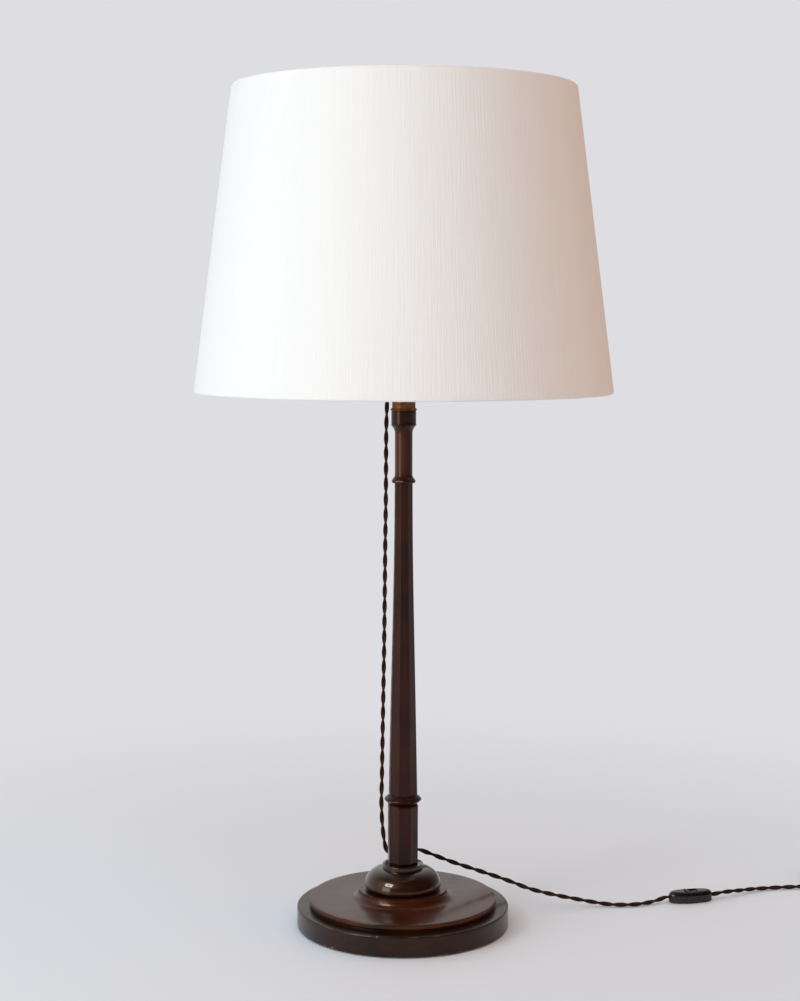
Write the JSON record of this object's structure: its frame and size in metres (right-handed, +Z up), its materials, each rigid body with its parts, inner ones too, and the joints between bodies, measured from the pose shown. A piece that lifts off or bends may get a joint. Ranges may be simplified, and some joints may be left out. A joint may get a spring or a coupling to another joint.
{
  "type": "table lamp",
  "caption": "Table lamp with a stepped round wooden base, a tapered octagonal column, a bayonet lampholder, a wide tapered fabric shade and a twisted flex with an inline switch.",
  "frame": {"origin": "on the floor under the middle of the base, at the bottom of the baize pad", "axes": "+Z up along the column, the front faces -Y, the flex runs to +X"},
  "size_m": [0.8542, 0.4564, 0.9243],
  "materials": {
    "mahogany": "gloss",
    "baize": "matt",
    "aged_brass": "satin",
    "bright_steel": "satin",
    "black_moulding": "gloss",
    "porcelain": "glazed",
    "clear_glass": "clear",
    "ivory_silk": "slub weave",
    "white_lining": "matt",
    "brown_flex": "braided silk",
    "brown_fibre": "matt"
  },
  "bodies": {
    "stand": {"base_felt": "baize", "base_plinth": "mahogany", "base_platform": "mahogany", "base_bun": "mahogany", "base_washer": "bright_steel", "base_screw": "bright_steel", "column_foot": "mahogany", "lower_ring": "mahogany", "column_shaft": "mahogany", "capital": "mahogany", "holder_flange": "aged_brass", "flange_screws": "aged_brass", "holder_nipple": "aged_brass", "holder_cap": "aged_brass", "entry_bush": "black_moulding", "holder_core": "porcelain", "holder_terminals": "aged_brass", "terminal_screws": "bright_steel", "lead_tails": "brown_flex", "contact_springs": "bright_steel", "holder_barrel": "aged_brass", "shade_ring": "black_moulding", "switch_base": "black_moulding", "switch_cover": "black_moulding", "rocker_pin": "bright_steel", "switch_contacts": "aged_brass", "switch_screws": "bright_steel", "flex_main": "brown_flex", "flex_lead": "brown_flex", "flex_coil": "brown_flex", "flex_tail": "brown_flex", "plug_base": "black_moulding", "plug_cover": "black_moulding", "plug_earth_pin": "aged_brass", "plug_power_pins": "aged_brass", "plug_fuse": "porcelain", "plug_clips": "aged_brass", "plug_grip": "brown_fibre", "plug_screw": "bright_steel"},
    "bulb": {"bulb_cap": "bright_steel", "bulb_contacts": "black_moulding", "bulb_glass": "clear_glass", "bulb_stem": "clear_glass", "bulb_filament": "bright_steel"},
    "plungers": {"contact_plungers": "aged_brass"},
    "carrier": {"carrier_collar": "aged_brass", "carrier_arms": "aged_brass", "carrier_ring": "aged_brass"},
    "shade_seat": {"rest_ring": "aged_brass", "pivot_pins": "aged_brass"},
    "shade": {"pivot_band": "bright_steel", "spider_arms": "bright_steel", "top_wire": "bright_steel", "bottom_wire": "bright_steel", "shade_cover": "ivory_silk", "shade_lining": "white_lining", "top_hem": "ivory_silk", "bottom_hem": "ivory_silk"},
    "rocker": {"switch_rocker": "black_moulding"}
  },
  "joints": [
    {"name": "bulb_push", "type": "slide", "parent": "stand", "child": "bulb", "axis": [0, 0, 1], "range_m": [-0.0025, 0], "stiffness_N_per_m": 1500, "springref_m": 0.005},
    {"name": "plunger_push", "type": "slide", "parent": "stand", "child": "plungers", "axis": [0, 0, 1], "range_m": [-0.0025, 0], "deforming": ["contact_springs"]},
    {"name": "carrier_turn", "type": "hinge", "parent": "stand", "child": "carrier", "pos_m": [0, 0, 0.6125], "axis": [0, 0, 1], "continuous": true},
    {"name": "shade_lift", "type": "slide", "parent": "carrier", "child": "shade_seat", "axis": [0, 0, 1], "range_m": [0, 0.3]},
    {"name": "shade_tilt", "type": "hinge", "parent": "shade_seat", "child": "shade", "pos_m": [0, 0, 0.87785], "axis": [1, 0, 0], "range_deg": [-12, 12]},
    {"name": "rocker_tip", "type": "hinge", "parent": "stand", "child": "rocker", "pos_m": [0.336, 0.084, 0.0082], "axis": [-0.2079, 0.9781, 0], "range_deg": [-20, 0]}
  ],
  "couplings": [
    {"joint": "plunger_push", "follows": "bulb_push", "ratio": 1}
  ]
}
